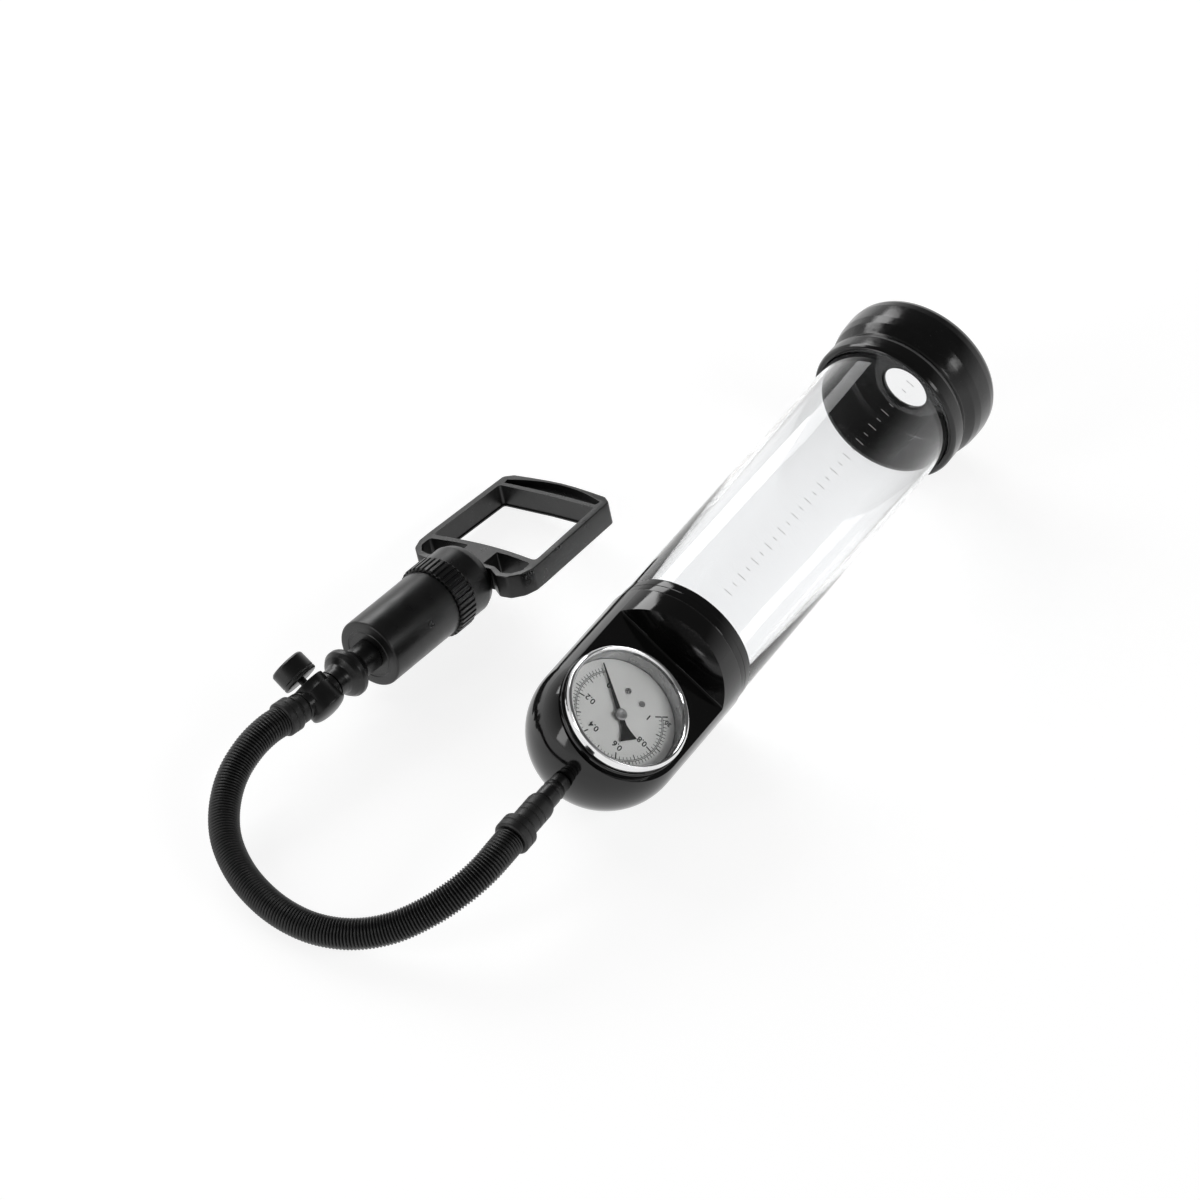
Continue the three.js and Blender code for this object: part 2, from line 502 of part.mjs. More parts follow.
// ---- Whole object, moved so that the origin is under its middle -------------------------------
const group = new THREE.Group();
group.add(cylinder, pump);
add(group, 'hose', hoseTube, rubberBlack);
const cordNames = ['hose', 'hose_cuff_pump', 'hose_cuff_head', 'hose_coupler'];
group.updateMatrixWorld(true);
const bounds = new THREE.Box3();
group.traverse((item) => {
  if (item.isMesh && !cordNames.includes(item.name)) bounds.expandByObject(item, true);
});
group.position.set(-(bounds.min.x + bounds.max.x) / 2, -(bounds.min.y + bounds.max.y) / 2, -bounds.min.z);

export default group;
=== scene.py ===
"""Hand vacuum pump: clear cylinder with gauge head and soft sleeve, ribbed hose and hand pump.

Pieces are built in millimetres in local frames that repeat the CAD model's, and placed in metres.
"""

import math

import bmesh
import bpy
from mathutils import Matrix, Vector


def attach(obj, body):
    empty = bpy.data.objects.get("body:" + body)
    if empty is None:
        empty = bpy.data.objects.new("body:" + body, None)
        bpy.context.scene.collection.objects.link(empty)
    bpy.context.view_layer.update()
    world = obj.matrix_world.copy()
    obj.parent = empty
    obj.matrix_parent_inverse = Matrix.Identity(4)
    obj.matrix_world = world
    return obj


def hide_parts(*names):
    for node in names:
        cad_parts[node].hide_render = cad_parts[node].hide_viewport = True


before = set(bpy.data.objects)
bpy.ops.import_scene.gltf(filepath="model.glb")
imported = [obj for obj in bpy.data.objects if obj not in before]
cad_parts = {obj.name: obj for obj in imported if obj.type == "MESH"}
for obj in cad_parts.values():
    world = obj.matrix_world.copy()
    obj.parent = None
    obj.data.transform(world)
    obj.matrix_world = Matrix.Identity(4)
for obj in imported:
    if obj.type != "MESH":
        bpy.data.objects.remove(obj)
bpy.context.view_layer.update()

MM = 0.001

# ---- Places, in millimetres, as in the CAD model ---------------------------------------------
OFFSET = Vector((-95.4304, -48.1135, 0.1389))
HEAD_R = 31
FLAT = 14.6
GAUGE_SHIFT = 0.9
DIAL_DEPTH = 2
BEZEL_FOOT = 5.8
RIM_X = 243.4
RIM_R = 34.7
CYLINDER_TILT = math.asin((RIM_R - HEAD_R) / RIM_X)  # it rests on its head and the sleeve's rim
HEAD_ROLL = math.radians(32.3)
PUMP_PLACE = Vector((-3.7, 107.1, 18.9))
PUMP_TILT = math.radians(2.9)
PUMP_YAW = math.radians(-5.2)
HANDLE_ROLL = math.radians(-16.2)
VALVE_X = -31.8
VALVE_ROLL = math.radians(-63.5)
CUFF_YAW = math.radians(-6)
NEEDLE_REST = math.radians(56)
HOSE_ROUTE = [
    (-54.8, 113.8, 21.5), (-61.3, 115.1, 21.8), (-71.5, 116.3, 20.4), (-84.5, 115.6, 16.7),
    (-97, 111, 12.8), (-108.2, 102.8, 9.8), (-117.1, 91, 7.6), (-123.2, 77.6, 6.6),
    (-126.6, 63.4, 6.4), (-126.5, 49.2, 6.6), (-122.6, 35.2, 8.2), (-115.3, 22.9, 11.6),
    (-105.6, 12.8, 17.2), (-94.5, 5.2, 23.2), (-83.5, 1.2, 27.4), (-75.5, 0.1, 29.5),
    (-67.9, 0, 29.97),
]


def turn(angle, axis):
    return Matrix.Rotation(angle, 4, axis)


def move(x, y=0.0, z=0.0):
    return Matrix.Translation(Vector((x, y, z)) * MM)


CYLINDER = move(*(OFFSET + Vector((0, 0, HEAD_R)))) @ turn(-CYLINDER_TILT, "Y")
HEAD = CYLINDER @ turn(HEAD_ROLL, "X")
GAUGE = HEAD @ move(0, GAUGE_SHIFT, FLAT - DIAL_DEPTH)
PUMP = move(*(OFFSET + PUMP_PLACE)) @ turn(PUMP_YAW, "Z") @ turn(PUMP_TILT, "Y")
HANDLE = PUMP @ turn(HANDLE_ROLL, "X")
VALVE = PUMP @ move(VALVE_X) @ turn(VALVE_ROLL, "X")
HOSE_EXIT = PUMP @ move(VALVE_X) @ turn(CUFF_YAW, "Z")

# ---- Camera ----------------------------------------------------------------------------------
IMAGE_SIDE = 1200
FOCAL_PX = 5618
DISTANCE = 2.15
AIM_FROM_LEFT = 605.97  # where the cylinder's origin stands in the image, from its left and top
AIM_FROM_TOP = 730.44
azimuth, elevation = math.radians(-57.7), math.radians(43.9)
back = Vector((math.sin(azimuth) * math.cos(elevation), -math.cos(azimuth) * math.cos(elevation),
               math.sin(elevation)))
right = Vector((math.cos(azimuth), math.sin(azimuth), 0))
up = right.cross(-back)
anchor = (OFFSET + Vector((0, 0, HEAD_R))) * MM
camera = bpy.data.objects.new("camera", bpy.data.cameras.new("camera"))
bpy.context.scene.collection.objects.link(camera)
camera.data.sensor_width = 36
camera.data.lens = FOCAL_PX / IMAGE_SIDE * camera.data.sensor_width
camera.data.clip_end = 20
aside = (AIM_FROM_LEFT - IMAGE_SIDE / 2) / FOCAL_PX * DISTANCE
raised = (IMAGE_SIDE / 2 - AIM_FROM_TOP) / FOCAL_PX * DISTANCE
camera.location = anchor + back * DISTANCE - right * aside - up * raised
camera.rotation_mode = "QUATERNION"
camera.rotation_quaternion = Matrix((right, up, back)).transposed().to_quaternion()
bpy.context.scene.camera = camera


# ---- Materials -------------------------------------------------------------------------------
class Nodes:
    """A material's node tree, with short calls for what the finishes below need."""

    def __init__(self, name):
        self.material = bpy.data.materials.new(name)
        self.material.use_nodes = True
        self.tree = self.material.node_tree
        self.shader = self.tree.nodes["Principled BSDF"]
        self.place = self.add("ShaderNodeTexCoord").outputs["Object"]

    def add(self, kind, **values):
        node = self.tree.nodes.new(kind)
        for key, value in values.items():
            setattr(node, key, value)
        return node

    def link(self, source, target):
        self.tree.links.new(source, target)

    def noise(self, scale, detail=3.0, stretch=(1, 1, 1), seed=0.0):
        mapping = self.add("ShaderNodeMapping")
        mapping.inputs["Scale"].default_value = stretch
        mapping.inputs["Location"].default_value = (seed, seed * 0.7, seed * 1.3)
        self.link(self.place, mapping.inputs["Vector"])
        node = self.add("ShaderNodeTexNoise")
        node.inputs["Scale"].default_value = scale
        node.inputs["Detail"].default_value = detail
        self.link(mapping.outputs["Vector"], node.inputs["Vector"])
        return node.outputs["Fac"]

    def spread(self, source, low, high, start=0.3, end=0.7):
        """The source's values from start to end, stretched to run from low to high."""
        node = self.add("ShaderNodeMapRange")
        ends = {"From Min": start, "From Max": end, "To Min": low, "To Max": high}
        for key, value in ends.items():
            node.inputs[key].default_value = value
        self.link(source, node.inputs["Value"])
        return node.outputs["Result"]

    def tint(self, factor, first, second):
        node = self.add("ShaderNodeMix", data_type="RGBA")
        node.inputs["A"].default_value = (*first, 1)
        node.inputs["B"].default_value = (*second, 1)
        self.link(factor, node.inputs["Factor"])
        return node.outputs["Result"]

    def total(self, first, second):
        node = self.add("ShaderNodeMath", operation="ADD")
        self.link(first, node.inputs[0])
        self.link(second, node.inputs[1])
        return node.outputs["Value"]

    def bump(self, layers):
        """layers: (height 0 to 1, depth in metres), each laid over the one before."""
        normal = None
        for height, depth in layers:
            node = self.add("ShaderNodeBump")
            node.inputs["Distance"].default_value = depth
            self.link(height, node.inputs["Height"])
            if normal is not None:
                self.link(normal, node.inputs["Normal"])
            normal = node.outputs["Normal"]
        self.link(normal, self.shader.inputs["Normal"])


def plastic(name, dark, light, rough, grain, depth, dust=0.0, wave=0.0, metallic=0.0,
            stretch=(1, 1, 1)):
    """Moulded plastic, rubber or metal: cloudy colour and gloss, grain, a slow wave and dust.

    rough is the gloss's lowest and highest roughness, grain the grain's scale, and depth and wave
    the heights of grain and wave in metres.
    """
    n = Nodes(name)
    n.shader.inputs["Metallic"].default_value = metallic
    cloud = n.noise(70, 4)
    colour = n.tint(n.spread(cloud, 0, 1), dark, light)
    fine = n.noise(grain, 2, stretch)
    gloss = n.spread(n.noise(160, 5, seed=3.1), rough[0], rough[1])
    if dust:
        specks = n.spread(n.noise(1500, 1, seed=7.7), 0, dust, 0.72, 0.78)
        mixed = n.add("ShaderNodeMix", data_type="RGBA")
        n.link(specks, mixed.inputs["Factor"])
        n.link(colour, mixed.inputs["A"])
        mixed.inputs["B"].default_value = (0.25, 0.25, 0.25, 1)
        colour = mixed.outputs["Result"]
        gloss = n.total(gloss, specks)
    n.link(colour, n.shader.inputs["Base Color"])
    n.link(gloss, n.shader.inputs["Roughness"])
    layers = [(fine, depth)]
    if wave:
        layers.insert(0, (n.noise(45, 1, seed=1.9), wave))
    n.bump(layers)
    return n.material


def clear(name, tint, rough, smudge, bend):
    """Clear plastic that bends light, lets the lamps through, and carries faint smudges."""
    n = Nodes(name)
    n.shader.inputs["Base Color"].default_value = (*tint, 1)
    n.shader.inputs["Transmission Weight"].default_value = 1
    n.shader.inputs["IOR"].default_value = bend
    n.shader.inputs["Coat Weight"].default_value = 1
    n.shader.inputs["Coat Roughness"].default_value = 0.04
    n.shader.inputs["Coat IOR"].default_value = 1.4
    n.link(n.spread(n.noise(55, 4), rough, smudge, 0.45, 0.8), n.shader.inputs["Roughness"])
    n.bump([(n.noise(30, 1, (0.25, 1, 1)), 0.00004)])
    path = n.add("ShaderNodeLightPath")
    through = n.add("ShaderNodeBsdfTransparent")
    through.inputs["Color"].default_value = (0.95, 0.95, 0.95, 1)
    mix = n.add("ShaderNodeMixShader")
    n.link(path.outputs["Is Shadow Ray"], mix.inputs[0])
    n.link(n.shader.outputs[0], mix.inputs[1])
    n.link(through.outputs[0], mix.inputs[2])
    n.link(mix.outputs[0], n.tree.nodes["Material Output"].inputs["Surface"])
    return n.material


def grey(value, lift=0.0):
    return (value, value, value + lift)


GLOSS = plastic("gloss_abs", grey(0.002), grey(0.004), (0.05, 0.13), 900, 0.000004, dust=0.05,
                wave=0.00025)
SATIN = plastic("satin_abs", grey(0.003), grey(0.006), (0.3, 0.42), 2600, 0.00003, dust=0.1)
PUMP_SATIN = plastic("pump_satin", grey(0.0025), grey(0.005), (0.26, 0.38), 2200, 0.000025,
                     dust=0.08)
SEAL = plastic("seal_rubber", grey(0.003), grey(0.006), (0.42, 0.58), 1800, 0.00003, dust=0.1)
HOSE = plastic("hose_pvc", grey(0.002), grey(0.005), (0.3, 0.44), 1500, 0.00002, dust=0.08)
SLEEVE = plastic("sleeve_tpe", grey(0.002), grey(0.004), (0.12, 0.22), 420, 0.00004, dust=0.08,
                 wave=0.0005)
CHROME = plastic("bezel_chrome", grey(0.78), grey(0.86, 0.01), (0.05, 0.14), 1200, 0.000006,
                 wave=0.0001, metallic=1)
STEEL = plastic("drawn_steel", grey(0.42), grey(0.55, 0.01), (0.22, 0.36), 1600, 0.00002,
                metallic=1, stretch=(0.08, 1, 1))
BRASS = plastic("machined_brass", (0.55, 0.4, 0.16), (0.68, 0.52, 0.24), (0.24, 0.4), 1400,
                0.00002, metallic=1)
DIAL = plastic("dial_enamel", (0.88, 0.88, 0.865), (0.93, 0.93, 0.915), (0.42, 0.55), 3000,
               0.00001)
PRINT = plastic("dial_print", grey(0.02), grey(0.04), (0.5, 0.6), 4000, 0.000005)
NEEDLE = plastic("needle_paint", grey(0.008), grey(0.014), (0.28, 0.4), 2600, 0.00001)
RULER = plastic("ruler_print", grey(0.5), grey(0.56), (0.5, 0.6), 3000, 0.000005)
TUBE = clear("clear_tube", (0.955, 0.96, 0.965), 0.0, 0.05, 1.16)
LENS = clear("clear_lens", (0.985, 0.99, 0.99), 0.0, 0.03, 1.2)


# ---- Mesh helpers ----------------------------------------------------------------------------
def piece(name, mesh, place, body, slot, material, *nodes, smooth=35):
    obj = bpy.data.objects.new(name, mesh)
    bpy.context.scene.collection.objects.link(obj)
    mesh.materials.clear()
    mesh.materials.append(material)
    for polygon in mesh.polygons:
        polygon.use_smooth = True
    mesh.set_sharp_from_angle(angle=math.radians(smooth))
    mesh.transform(place)
    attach(obj, body)
    if nodes:
        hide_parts(*nodes)
    return obj


def to_mesh(name, verts, faces):
    mesh = bpy.data.meshes.new(name)
    mesh.from_pydata([tuple(c * MM for c in v) for v in verts], [], faces)
    work = bmesh.new()
    work.from_mesh(mesh)
    bmesh.ops.remove_doubles(work, verts=work.verts, dist=1e-7)
    bmesh.ops.recalc_face_normals(work, faces=work.faces)
    work.to_mesh(mesh)
    work.free()
    return mesh


def fillet(profile, default, steps=4, closed=True):
    """Rounds a profile's corners.

    A point is (along, radius) or (along, radius, its own rounding).
    """
    count = len(profile)
    result = []
    for i, point in enumerate(profile):
        here = Vector(point[:2])
        radius = point[2] if len(point) > 2 else default
        if radius <= 0 or (not closed and i in (0, count - 1)):
            result.append(tuple(here))
            continue
        before = Vector(profile[i - 1][:2]) - here
        after = Vector(profile[(i + 1) % count][:2]) - here
        corner = before.angle(after, math.pi)
        if corner > math.radians(172) or before.length < 1e-6 or after.length < 1e-6:
            result.append(tuple(here))
            continue
        reach = min(radius / math.tan(corner / 2), before.length * 0.45, after.length * 0.45)
        first = here + before.normalized() * reach
        last = here + after.normalized() * reach
        for k in range(steps + 1):
            t = k / steps
            result.append(tuple(first * (1 - t) ** 2 + here * 2 * t * (1 - t) + last * t * t))
    return result


def arc(cx, cy, radius, start, end, steps):
    """Points on an arc, its angles in degrees, with no rounding of their own."""
    angles = [math.radians(start + (end - start) * i / steps) for i in range(steps + 1)]
    return [(cx + radius * math.cos(a), cy + radius * math.sin(a), 0) for a in angles]


def lathe(name, profile, segments=96, axis="x", rounding=0.25, wave=None):
    """A turned piece. wave(angle, along, radius) gives how far a point stands out of round."""
    on_axis = profile[0][1] == 0 and profile[-1][1] == 0
    profile = fillet(profile, rounding, closed=not on_axis)
    verts = []
    for along, radius in profile:
        for i in range(segments):
            angle = 2 * math.pi * i / segments
            r = radius + (wave(angle, along, radius) if wave and radius else 0)
            c, s = r * math.cos(angle), r * math.sin(angle)
            verts.append((along, c, s) if axis == "x" else (c, s, along))
    rows = len(profile) if not on_axis else len(profile) - 1
    faces = []
    for row in range(rows):
        below, above = row * segments, (row + 1) % len(profile) * segments
        for i in range(segments):
            j = (i + 1) % segments
            faces.append((below + i, below + j, above + j, above + i))
    return to_mesh(name, verts, faces)


def plate(name, outline, low, high, rounding=0.0):
    """A flat outline with thickness along Z and, where asked, rounded rims."""
    steps = 3 if rounding else 0
    layers = []
    for side, level in ((-1, low), (1, high)):
        ring = []
        for k in range(steps + 1):
            a = math.radians(90 * k / steps) if steps else 0
            inset = rounding * (1 - math.cos(a)) if side > 0 else rounding * (1 - math.sin(a))
            lift = rounding * (1 - math.sin(a)) if side > 0 else rounding * (1 - math.cos(a))
            ring.append((inset, level - lift if side > 0 else level + lift))
        layers += ring
    count = len(outline)
    normals = []
    for i in range(count):
        a, b = Vector(outline[i - 1]), Vector(outline[(i + 1) % count])
        d = (b - a).normalized()
        normals.append(Vector((d.y, -d.x)))
    area = sum(outline[i - 1][0] * outline[i][1] - outline[i][0] * outline[i - 1][1]
               for i in range(count))
    sign = 1 if area > 0 else -1
    verts = [(p[0] - sign * n.x * inset, p[1] - sign * n.y * inset, z)
             for inset, z in layers for p, n in zip(outline, normals)]
    faces = []
    for row in range(len(layers) - 1):
        for i in range(count):
            j = (i + 1) % count
            below, above = row * count, (row + 1) * count
            faces.append((below + i, below + j, above + j, above + i))
    faces.append(tuple(range(count)))
    faces.append(tuple(range((len(layers) - 1) * count, len(layers) * count)))
    return to_mesh(name, verts, faces)


def combine(mesh, operation, *tools):
    """Cuts the tools' meshes from the mesh, or joins them to it, exactly."""
    scene = bpy.context.scene.collection
    base = bpy.data.objects.new("work", mesh)
    scene.objects.link(base)
    helpers = []
    for tool in tools:
        helper = bpy.data.objects.new("tool", tool)
        scene.objects.link(helper)
        helpers.append(helper)
        modifier = base.modifiers.new("b", "BOOLEAN")
        modifier.operation = operation
        modifier.solver = "EXACT"
        modifier.object = helper
    bpy.context.view_layer.update()
    evaluated = base.evaluated_get(bpy.context.evaluated_depsgraph_get())
    result = bpy.data.meshes.new_from_object(evaluated)
    for obj in [base, *helpers]:
        bpy.data.objects.remove(obj)
    work = bmesh.new()
    work.from_mesh(result)
    bmesh.ops.dissolve_degenerate(work, dist=1e-6, edges=work.edges)
    bmesh.ops.remove_doubles(work, verts=work.verts, dist=2e-6)
    work.to_mesh(result)
    work.free()
    return result


def soft_edges(obj, width, angle=38, segments=2):
    """A bevel on every edge sharper than the angle."""
    bevel = obj.modifiers.new("edges", "BEVEL")
    bevel.width = width * MM
    bevel.segments = segments
    bevel.limit_method = "ANGLE"
    bevel.angle_limit = math.radians(angle)
    bevel.use_clamp_overlap = True
    bevel.harden_normals = True


def tilted(mesh, matrix):
    """The mesh, moved by the matrix."""
    mesh.transform(matrix)
    return mesh


def smooth_curve(points, count):
    """Evenly spaced points on a centripetal Catmull-Rom curve through the given ones."""
    points = [Vector(p) for p in points]
    padded = [2 * points[0] - points[1], *points, 2 * points[-1] - points[-2]]
    fine = []
    for a, b, c, d in zip(padded, padded[1:], padded[2:], padded[3:]):
        t0, t1 = 0, (b - a).length ** 0.5
        t2 = t1 + (c - b).length ** 0.5
        t3 = t2 + (d - c).length ** 0.5
        for k in range(24):
            t = t1 + (t2 - t1) * k / 24
            p1 = a * ((t1 - t) / (t1 - t0)) + b * ((t - t0) / (t1 - t0))
            p2 = b * ((t2 - t) / (t2 - t1)) + c * ((t - t1) / (t2 - t1))
            p3 = c * ((t3 - t) / (t3 - t2)) + d * ((t - t2) / (t3 - t2))
            q1 = p1 * ((t2 - t) / (t2 - t0)) + p2 * ((t - t0) / (t2 - t0))
            q2 = p2 * ((t3 - t) / (t3 - t1)) + p3 * ((t - t1) / (t3 - t1))
            fine.append(q1 * ((t2 - t) / (t2 - t1)) + q2 * ((t - t1) / (t2 - t1)))
    fine.append(points[-1])
    lengths = [0.0]
    for a, b in zip(fine, fine[1:]):
        lengths.append(lengths[-1] + (b - a).length)
    result, k = [], 0
    for i in range(count + 1):
        target = lengths[-1] * i / count
        while k < len(fine) - 2 and lengths[k + 1] < target:
            k += 1
        share = (target - lengths[k]) / max(lengths[k + 1] - lengths[k], 1e-9)
        result.append(fine[k].lerp(fine[k + 1], min(share, 1)))
    return result, lengths[-1]


# ---- Hose: a corrugated tube, first of the object's pieces -----------------------------------
RIB_PITCH = 1.28
RIB_STEPS = 6
HOSE_AROUND = 36
HOSE_CREST = 6.15
HOSE_VALLEY = 5.35

_, hose_mm = smooth_curve(HOSE_ROUTE, 2)
rib_count = round(hose_mm / RIB_PITCH)
hose_line, hose_mm = smooth_curve(HOSE_ROUTE, rib_count * RIB_STEPS)
hose_line = [p + OFFSET for p in hose_line]


def hose_mesh():
    verts, faces = [], []
    side = Vector((0, 0, 1))
    rings = len(hose_line)
    for i, point in enumerate(hose_line):
        ahead = hose_line[min(i + 1, rings - 1)] - hose_line[max(i - 1, 0)]
        ahead.normalize()
        side = (side - ahead * side.dot(ahead)).normalized()
        other = ahead.cross(side)
        phase = 2 * math.pi * i / RIB_STEPS
        swell = (0.5 + 0.5 * math.cos(phase)) ** 0.7
        radius = HOSE_VALLEY + (HOSE_CREST - HOSE_VALLEY) * swell
        for k in range(HOSE_AROUND):
            a = 2 * math.pi * k / HOSE_AROUND
            verts.append(point + (side * math.cos(a) + other * math.sin(a)) * radius)
    for i in range(rings - 1):
        for k in range(HOSE_AROUND):
            m = (k + 1) % HOSE_AROUND
            faces.append((i * HOSE_AROUND + k, i * HOSE_AROUND + m, (i + 1) * HOSE_AROUND + m,
                          (i + 1) * HOSE_AROUND + k))
    faces.append(tuple(range(HOSE_AROUND)))
    faces.append(tuple(range((rings - 1) * HOSE_AROUND, rings * HOSE_AROUND)))
    return to_mesh("hose", verts, faces)


hose = piece("ribbed_hose", hose_mesh(), Matrix.Identity(4), "base", "hose_rubber", HOSE, "hose",
             smooth=80)

cuff_end = -19.6  # on the hose's line, from the valve
pump_cuff = piece("pump_cuff", lathe("pump_cuff", [
    (-8.7, 3.5), (-8.7, 6.1, 0.5), (cuff_end + 8.4, 6.15, 0.3), (cuff_end + 7.8, 5.8, 0.2),
    (cuff_end + 7.2, 6.3, 0.2), (cuff_end + 6, 7.2, 0.8), (cuff_end + 3.6, 7.2, 0.3),
    (cuff_end + 3.2, 6.9, 0.2), (cuff_end + 2.8, 7.2, 0.3), (cuff_end + 0.5, 7.2, 0.6),
    (cuff_end, 6.4, 0.3), (cuff_end, 3.5),
], 64), HOSE_EXIT, "base", "seal_rubber", SEAL, "hose_cuff_pump")
head_cuff = piece("head_cuff", lathe("head_cuff", [
    (-45, 2.7), (-45, 5.2, 0.6), (-47, 5.65, 0.6), (-51.2, 5.65, 0.2), (-51.6, 5.3, 0.2),
    (-52, 5.65, 0.2), (-54.4, 5.65, 0.2), (-54.8, 5.3, 0.2), (-55.2, 5.65, 0.2), (-58.6, 5.65, 0.6),
    (-60.4, 7.5, 0.8), (-63, 7.5, 0.3), (-63.4, 7.15, 0.2), (-63.8, 7.5, 0.3), (-66.5, 7.5, 0.7),
    (-67.1, 6.6, 0.3), (-67.1, 2.7),
], 64), CYLINDER, "base", "seal_rubber", SEAL, "hose_cuff_head")
coupler = piece("coupler", lathe("coupler", [
    (-35.7, 2.5), (-35.7, 4.3, 0.4), (-37.4, 4.5, 0.3), (-38, 3.9, 0.2), (-38.8, 3.9, 0.2),
    (-39.3, 4.5, 0.3), (-44, 4.5, 0.5), (-44.7, 4, 0.2), (-44.7, 2.4), (-56, 2.1), (-56, 1.2),
    (-44, 1.2), (-44, 2.5),
], 48), CYLINDER, "base", "satin_black", SATIN, "hose_coupler")

# ---- Head ------------------------------------------------------------------------------------
STEP_FOOT_X = 35
STEP_TOP_X = 40.5
HEAD_END_X = 49
GAUGE_HOLE_R = 24.65
BOSS_R = 26.4
BEYOND = 40  # farther out than any of the head


def over_flat(inset, name):
    """What lies above the gauge flat and in front of the step's sloping wall."""
    foot, top = STEP_FOOT_X + inset, STEP_TOP_X + inset
    floor_z = FLAT - inset
    on_wall = (foot + (top - foot) / 6, floor_z + (HEAD_R - FLAT) / 6, 0)
    foot_curve = fillet([(-BEYOND, floor_z, 0), (foot, floor_z, 1.2), on_wall], 1, 8, closed=False)
    wall_top = (top, floor_z + HEAD_R - FLAT)
    outline = [*foot_curve[:-1], wall_top, (top + 3, BEYOND), (-BEYOND, BEYOND)]
    mesh = plate(name, outline, -BEYOND, BEYOND)
    return tilted(mesh, turn(math.pi / 2, "X"))


HEAD_AROUND = 180
head_outer = lathe("head_housing", [
    *arc(0, 0, HEAD_R, 180, 90, 40)[:-1], (0, HEAD_R, 0), (HEAD_END_X - 0.2, HEAD_R, 0.7),
    (HEAD_END_X, HEAD_R - 0.6, 0.2), (HEAD_END_X, 0),
], HEAD_AROUND)
cavity = lathe("cavity", [*arc(0, 0, 28, 180, 90, 14), (43.6, 28, 0), (43.6, 0)], 96)
cavity = combine(cavity, "DIFFERENCE", over_flat(3, "inner_flat"))
socket = lathe("socket", [(42.6, 0), (42.6, 29.2, 0), (50, 29.2, 0), (50, 0)], HEAD_AROUND)
gauge_hole = lathe("gauge_hole", [
    (-6, 0), (-6, GAUGE_HOLE_R, 0), (BEYOND, GAUGE_HOLE_R, 0), (BEYOND, 0),
], 160, "z")
tilted(gauge_hole, move(0, GAUGE_SHIFT))
boss = lathe("boss", [(-2, 0), (-2, BOSS_R, 0), (2.4, BOSS_R, 0.8), (2.4, 0)], 160, "z")
tilted(boss, move(0, GAUGE_SHIFT, FLAT))
nipple_hole = lathe("nipple_hole", [(-33, 0), (-33, 3.3, 0), (-20, 3.3, 0), (-20, 0)], 48)
head_mesh = combine(combine(head_outer, "DIFFERENCE", over_flat(0, "flat")), "UNION", boss)
head_mesh = combine(head_mesh, "DIFFERENCE", cavity, socket, gauge_hole, nipple_hole)
head = piece("gauge_head", head_mesh, HEAD, "base", "head_black", GLOSS, "head_housing", smooth=30)
soft_edges(head, 0.55, segments=3)

piece("head_inlet", lathe("head_inlet", [
    (-41.9, 1.2), (-41.9, 2.2, 0.1), (-35.4, 2.2, 0), (-35.4, 4, 0.3), (-31.3, 4, 0.3),
    (-31.3, 3, 0), (-26, 3, 0), (-26, 1.2),
], 48), CYLINDER, "base", "satin_black", SATIN, "head_nipple")
piece("ring_band", lathe("ring_band", [
    (49.3, 29.2), (49.3, 30.3, 0.4), (52.6, 30.3, 0), (52.8, 30.1, 0), (53, 30.3, 0),
    (56.4, 30.3, 0.4), (56.4, 29.2),
], HEAD_AROUND), CYLINDER, "base", "satin_black", GLOSS, "head_ring")
piece("clear_cylinder", lathe("clear_cylinder", [
    (44.7, 27.2), (44.7, 28.9, 0), (56.7, 28.9, 0), (56.7, 30, 0.2), (229, 30, 0.7),
    (229, 27.2, 0.7),
], HEAD_AROUND), CYLINDER, "base", "clear_tube", TUBE, "cylinder_tube")


# ---- Ruler ticks on the cylinder -------------------------------------------------------------
TUBE_SKIN = 30.03  # just outside the tube
TICKS = 29
TICK_FROM_X = 66
TICK_PITCH = 5
LONG_TICK, SHORT_TICK = 1.7, 0.9  # half their lengths, taken in turn
TICK_ROLL = math.radians(4)  # the ticks stand this far round from the head's top
BOX_FACES = (
    (0, 1, 3, 2), (4, 6, 7, 5), (0, 4, 5, 1), (2, 3, 7, 6), (0, 2, 6, 4), (1, 5, 7, 3),
)


def box_parts(verts, faces, matrix, size):
    """Adds a box of the given size, centred by the matrix, to the lists."""
    start = len(verts)
    for x in (-0.5, 0.5):
        for y in (-0.5, 0.5):
            for z in (-0.5, 0.5):
                verts.append(matrix @ Vector((x * size[0], y * size[1], z * size[2])))
    for face in BOX_FACES:
        faces.append(tuple(start + i for i in face))


tick_verts, tick_faces = [], []
for step in range(TICKS):
    x = TICK_FROM_X + step * TICK_PITCH
    half = LONG_TICK if step % 2 == 0 else SHORT_TICK
    for part in range(-4, 5):
        roll = (part / 4) * half / TUBE_SKIN - TICK_ROLL
        spot = turn(roll, "X") @ Matrix.Translation((x, 0, TUBE_SKIN + 0.01))
        box_parts(tick_verts, tick_faces, spot, (0.24, half / 4 + 0.05, 0.05))
piece("ruler_ticks", to_mesh("ruler_ticks", tick_verts, tick_faces), HEAD, "base", "clear_tube",
      RULER)

